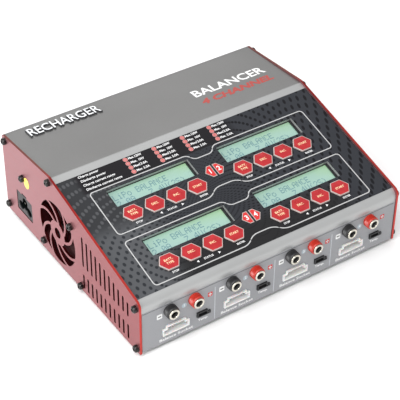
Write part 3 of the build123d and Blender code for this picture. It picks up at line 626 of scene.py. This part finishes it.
def make_screens():
    """The characters of each display as separate dots just over its glass."""
    for number, (x, down) in enumerate(WINDOW_SPOTS, start=1):
        glass = NODES[f"lcd_glass_{number}"]
        lift = max((v.co - slope_at(0, 0).translation).dot(-PRESS_AXIS) for v in glass.data.vertices) / MM
        place = slope_at(x + TEXT_SHIFT[0], down - TEXT_SHIFT[1], lift + 0.01)
        ink = Piece(f"screen_text_{number}", "lcd_ink")
        for row, line in enumerate(SCREEN_LINES):
            for column, letter in enumerate(line):
                if letter == " ":
                    continue
                left = (column - 7.5) * CHARACTER_PITCH
                top = (0.5 - row) * LINE_PITCH
                for j, bits in enumerate(GLYPHS[letter].split()):
                    for i, bit in enumerate(bits):
                        if bit == "1":
                            centre = (left + (i - 2) * DOT_PITCH[0], top - (j - 3) * DOT_PITCH[1])
                            ink.prism(rectangle(*DOT_SIZE, centre), place, 0.03)
        ink.done(CASE, slot="lcd_glass")


# ---------------------------------------------------------------- print on the overlay

PRINT = 0.04
BOX_HALF = 87.25
BOX_TOPS = (16.9, 61.8)
BOX_HEIGHT = 38.5
BADGE_SPOTS = ((36.3, "1", "2"), (81.0, "3", "4"))
TABLE_ROWS = (1.9, 5.7, 9.5, 13.4)
STRIP_X = (-50.4, -27.5, -4.5, 17.7)
TABLE_WORDS = ("Charge power", "Discharge power", "Charge current range", "Discharge current range")
TABLE_WIDTHS = (15.6, 19.2, 24.0, 27.4)
TABLE_VALUES = ("120W", "10W", "12.0A", "5.0A")
TABLE_VALUE_WIDTHS = (5.4, 4.4, 6.0, 4.8)


def box_outline(top):
    """A rounded frame that dips in the middle of its top side and rises in the middle of its bottom side."""
    dip, rise = top + 5.4, top + BOX_HEIGHT - 5.7
    bottom = top + BOX_HEIGHT
    half = [(7.4, dip), (10.6, top), (BOX_HALF, top), (BOX_HALF, bottom), (14.7, bottom), (8.3, rise)]
    corners = half + [(-x, v) for x, v in reversed(half)]
    radii = [5.6, 5.6, 2.6, 2.6, 11.3, 11.3]
    return rounded([(x, -v) for x, v in corners], radii + radii[::-1], 8)


def half_badge(way, inset=0.0):
    """Half of a flat-topped hexagon, its point to the left (-1) or to the right (1)."""
    inner, flat, tip, high = 0.75 + inset, 3.95 - 0.4 * inset, 7.55 - 1.25 * inset, 5.0 - inset
    half = [(inner, -high), (flat, -high), (tip, 0), (flat, high), (inner, high)]
    return [(way * x, y) for x, y in half]


def make_overlay_print():
    white = Piece("overlay_print_white", "white_ink", "line_ink")
    red = Piece("overlay_print_red", "key_rim", "red_ink", "pink_ink", "dark_ink", "white_ink")
    flat = slope_at(0, 0)
    for top in BOX_TOPS:
        white.ribbon(box_outline(top), 0.75, flat, PRINT, 1)
    for down, first, second in BADGE_SPOTS:
        for way, digit in ((-1, first), (1, second)):
            place = slope_at(0, down)
            red.prism(half_badge(way), place, PRINT, 0)
            red.prism(half_badge(way, 0.55), slope_at(0, down, PRINT), PRINT, 1)
            red.text(digit, 3.9, slope_at(way * 3.5, down, 2 * PRINT), PRINT, 4, bold=0.12)
    for down, word, word_width, value, value_width in zip(
            TABLE_ROWS, TABLE_WORDS, TABLE_WIDTHS, TABLE_VALUES, TABLE_VALUE_WIDTHS):
        place = slope_at(-87.2 + word_width / 2, down)
        white.text(word, 1.9, place, PRINT, bold=0.05, slant=0.15, width=word_width)
        for x in STRIP_X:
            white.text("Max.", 1.8, slope_at(x + 4.5, down), PRINT, bold=0.06, slant=0.1, width=4.6)
            white.text(value, 1.9, slope_at(x + 12.4 - value_width / 2, down), PRINT, bold=0.06, slant=0.1,
                       width=value_width)
    for number, x in enumerate(STRIP_X, start=1):
        for down in TABLE_ROWS:
            red.prism(circle(1.75), slope_at(x, down), PRINT, 2)
            red.prism(circle(1.3), slope_at(x, down, PRINT), 0.02, 1)
            red.prism(circle(0.95), slope_at(x, down, PRINT + 0.02), 0.02, 2)
            red.text(str(number), 1.3, slope_at(x, down, PRINT + 0.04), 0.02, 1, bold=0.04)
    for x, down in WINDOW_SPOTS:
        under = down + KEY_DOWN + 8.3
        white.text("STOP", 1.5, slope_at(x - 1.5 * KEY_PITCH, under), PRINT, bold=0.04)
        white.text("STATUS", 1.5, slope_at(x, under), PRINT, bold=0.04)
        white.text("ENTER", 1.5, slope_at(x + 1.5 * KEY_PITCH, under), PRINT, bold=0.04)
        for way in (-1, 1):
            tip = [(way * 0.9, 0), (-way * 0.8, 0.95), (-way * 0.8, -0.95)]
            white.prism(tip, slope_at(x + way * KEY_PITCH / 2, under), PRINT)
    white.done(CASE, slot="printed_overlay")
    red.done(CASE, slot="printed_overlay")


# ---------------------------------------------------------------- print on the front label and the rear top

SEPARATOR_X = (-47.2, 0.6, 48.3)


def make_label_print():
    pale = Piece("label_print_pale", "pale_ink", "white_ink", "dark_ink")
    signs = Piece("label_print_signs", "white_ink", "dark_ink", "red_ink", "disc_ink")
    for x in SEPARATOR_X:
        pale.prism(rectangle(0.5, 28.0, (x, 15.6)), front_at(0, 0), PRINT, 0)
    pale.prism(rectangle(204.4, 0.35, (0, 33.0)), front_at(0, 0), PRINT, 2)
    for number, x in enumerate(CHANNEL_X, start=1):
        for sign_x, size, ground, ink in ((x - 18.0, 4.0, 0, 1), (x + 20.7, 3.6, 2, 0)):
            place = front_at(sign_x, 25.3)
            bar = front_at(sign_x, 25.3, PRINT)
            signs.prism(rounded(rectangle(size, size), 0.5, 3), place, PRINT, ground)
            signs.prism(rectangle(2.4, 0.8), bar, PRINT, ink)
            if ground == 2:
                signs.prism(rectangle(0.8, 2.4), bar, PRINT, ink)
        signs.prism(circle(1.9, centre=(x + 0.7, 25.7)), front_at(0, 0), PRINT, 3)
        signs.text(str(number), 2.2, front_at(x + 0.7, 25.7, PRINT), PRINT, 0, bold=0.05)
        pale.text("Balance Socket", 2.2, front_at(x - 5.5, 3.6), PRINT, 1, bold=0.06, width=25.8)
        pale.text("Temp.", 2.0, front_at(x + 15.5, 6.6), PRINT, 1, bold=0.06, width=7.8)
    pale.done(CASE, slot="grey_label")
    signs.done(CASE, slot="grey_label")


def make_rear_top_words():
    # Painted shade: a dark, slightly wider copy of the letters, as tall as their rise, stands in for the shade
    # on their sides and around their feet; the silver tops sit on it.
    edge = Piece("raised_word_side_shade", "letter_side_shade")
    edge.text("RECHARGER", 9.4, rear_top_at(-62.0, 55.6), 1.1, bold=0.28, width=57.4)
    edge.done(CASE, slot="cover_grey")
    word = Piece("raised_word", "letter_silver")
    word.text("RECHARGER", 9.4, rear_top_at(-62.0, 55.6, 1.1), 0.25, bold=0.10, width=56.4)
    word.done(CASE, slot="cover_grey")
    name = Piece("rear_top_print", "white_ink", "rust_ink")
    name.text("BALANCER", 8.8, rear_top_at(61.5, 31.6), PRINT, 0, bold=0.25, width=62.0)
    name.text("4 CHANNEL", 6.6, rear_top_at(61.0, 19.3), PRINT, 1, bold=0.4, slant=0.25, width=62.0)
    name.done(CASE, slot="cover_grey")


# ---------------------------------------------------------------- output jacks

JACK_HEIGHT = 27.9
JACK_SHIFT = {"black": -10.4, "red": 8.4}
KNURLS = 44


def turned(piece, profile, place, look, count=48):
    """A closed solid of revolution about the place's own z: profile is (radius, lift) in mm."""
    rings = []
    for radius, lift in profile:
        rings.append([place @ Vector((radius * MM * math.cos(2 * math.pi * i / count),
                                      radius * MM * math.sin(2 * math.pi * i / count), lift * MM))
                      for i in range(count)])
    piece.loft(rings + rings[:1], look, False, False, smooth=True)
    bmesh.ops.remove_doubles(piece.shape, verts=piece.shape.verts, dist=0.0000005)


def make_insulators(colour, look):
    """Knurled barrels: small raised diamonds all round, a smooth collar at the wall and a chamfered end."""
    barrel = Piece(f"jack_barrels_{colour}", look)
    for x in CHANNEL_X:
        place = front_at(x + JACK_SHIFT[colour], JACK_HEIGHT)
        count = 2 * KNURLS
        stations = [(3.0, -0.6, 0), (4.1, -0.6, 0), (4.1, 0.0, 0), (4.62, 0.02, 0), (4.72, 0.3, 0),
                    (4.72, 0.9, 0)]
        stations += [(4.72, 1.2 + 0.42 * k, 1 + k % 2) for k in range(8)]
        stations += [(4.66, 4.60, 0), (4.40, 5.05, 0), (4.10, 5.20, 0), (3.0, 5.20, 0)]
        rings = []
        for radius, lift, knurl in stations:
            ring = []
            for i in range(count):
                deep = 0.24 if knurl and (i + knurl) % 2 else 0.0
                angle = 2 * math.pi * i / count
                ring.append(place @ Vector(((radius - deep) * MM * math.cos(angle),
                                            (radius - deep) * MM * math.sin(angle), lift * MM)))
            rings.append(ring)
        barrel.loft(rings + rings[:1], 0, False, False)
        bmesh.ops.remove_doubles(barrel.shape, verts=barrel.shape.verts, dist=0.0000005)
    return barrel.done(CASE, f"jack_insulators_{colour}")


def make_sleeves():
    """Nickel sleeves: a thick bright ring with a rounded lip round a 4 mm bore lined with painted shade, a
    near-black liner for the shadow inside.
    """
    sleeve = Piece("jack_rings", "nickel", "bore_painted_shade")
    ring = [(2.5, 4.6), (2.5, 5.9), (2.6, 6.13), (2.8, 6.26), (3.35, 6.28), (3.66, 6.20), (3.83, 6.03),
            (3.88, 5.8), (3.88, 5.1), (2.9, 5.1), (2.9, 4.6)]
    # Painted shade: a dark liner, closed at its far end, fills the bore where only shadow is seen.
    deep = [(2.3, -13.0), (2.3, -1.0), (2.0, -0.6), (2.0, 4.3), (2.48, 5.6), (2.7, 5.6), (2.7, -14.2),
            (0.02, -14.2),
            (0.02, -13.0)]
    for x in CHANNEL_X:
        for shift in JACK_SHIFT.values():
            place = front_at(x + shift, JACK_HEIGHT)
            turned(sleeve, ring, place, 0)
            turned(sleeve, deep, place, 1)
    return sleeve.done(CASE, "jack_sleeves")


# ---------------------------------------------------------------- stage, light and camera

def make_stage():
    floor = bpy.data.meshes.new("floor")
    size = 4.0
    corners = [(-size, -size, 0), (size, -size, 0), (size, size, 0), (-size, size, 0)]
    floor.from_pydata(corners, [], [(0, 1, 2, 3)])
    floor.materials.append(grained("floor", grey(0.86), grey(0.88), 30.0, (0.7, 0.8), 0.0001))
    ground = bpy.data.objects.new("floor", floor)
    bpy.context.scene.collection.objects.link(ground)


def area_light(name, place, aim, size, power, tint=(1, 1, 1)):
    light = bpy.data.lights.new(name, "AREA")
    light.shape = "RECTANGLE"
    light.size, light.size_y = size
    light.energy = power
    light.color = tint
    lamp = bpy.data.objects.new(name, light)
    lamp.matrix_world = look_from(Vector(place), Vector(aim))
    bpy.context.scene.collection.objects.link(lamp)


def look_from(place, aim):
    out = (place - aim).normalized()
    right = Vector((0, 0, 1)).cross(out).normalized()
    return frame_matrix(right, out.cross(right), out, place)


def make_light():
    world = bpy.data.worlds.new("studio")
    world.use_nodes = True
    world.node_tree.nodes["Background"].inputs["Color"].default_value = (1, 1, 1, 1)
    world.node_tree.nodes["Background"].inputs["Strength"].default_value = 0.7
    bpy.context.scene.world = world
    area_light("key_light", (-0.65, -0.45, 1.15), (-0.05, 0, 0), (0.9, 0.7), 14.0)
    area_light("left_fill", (-1.2, -0.1, 0.45), (0, 0, 0.03), (0.9, 0.7), 9.0)
    area_light("rear_strip", (0.3, 1.1, 0.9), (0, 0, 0.05), (1.4, 0.4), 6.0)


CAMERA_AZIMUTH = -0.5985
CAMERA_ELEVATION = 0.6796
CAMERA_ROLL = 0.0127
CAMERA_DISTANCE = 958.7 * MM
CAMERA_TARGET = (-3.0, 84.0, 25.6)
CAMERA_LENS = 123.4


def make_camera():
    out = Vector((math.sin(CAMERA_AZIMUTH) * math.cos(CAMERA_ELEVATION),
                  -math.cos(CAMERA_AZIMUTH) * math.cos(CAMERA_ELEVATION), math.sin(CAMERA_ELEVATION)))
    x, back, height = CAMERA_TARGET
    aim = Vector((x * MM, PLATE_FRONT + back * MM, PLATE_LOW + height * MM))
    placed = look_from(aim + out * CAMERA_DISTANCE, aim) @ Matrix.Rotation(CAMERA_ROLL, 4, "Z")
    data = bpy.data.cameras.new("camera")
    data.lens = CAMERA_LENS
    data.sensor_width = 36.0
    data.clip_start = 0.01
    camera = bpy.data.objects.new("camera", data)
    camera.matrix_world = placed
    bpy.context.scene.collection.objects.link(camera)
    bpy.context.scene.camera = camera


dress_cad_nodes()
make_keys()
make_screens()
make_overlay_print()
make_label_print()
make_rear_top_words()
make_insulators("black", "black_plastic")
make_insulators("red", "jack_red")
make_sleeves()
make_stage()
make_light()
make_camera()
bpy.context.scene.view_settings.view_transform = "Standard"
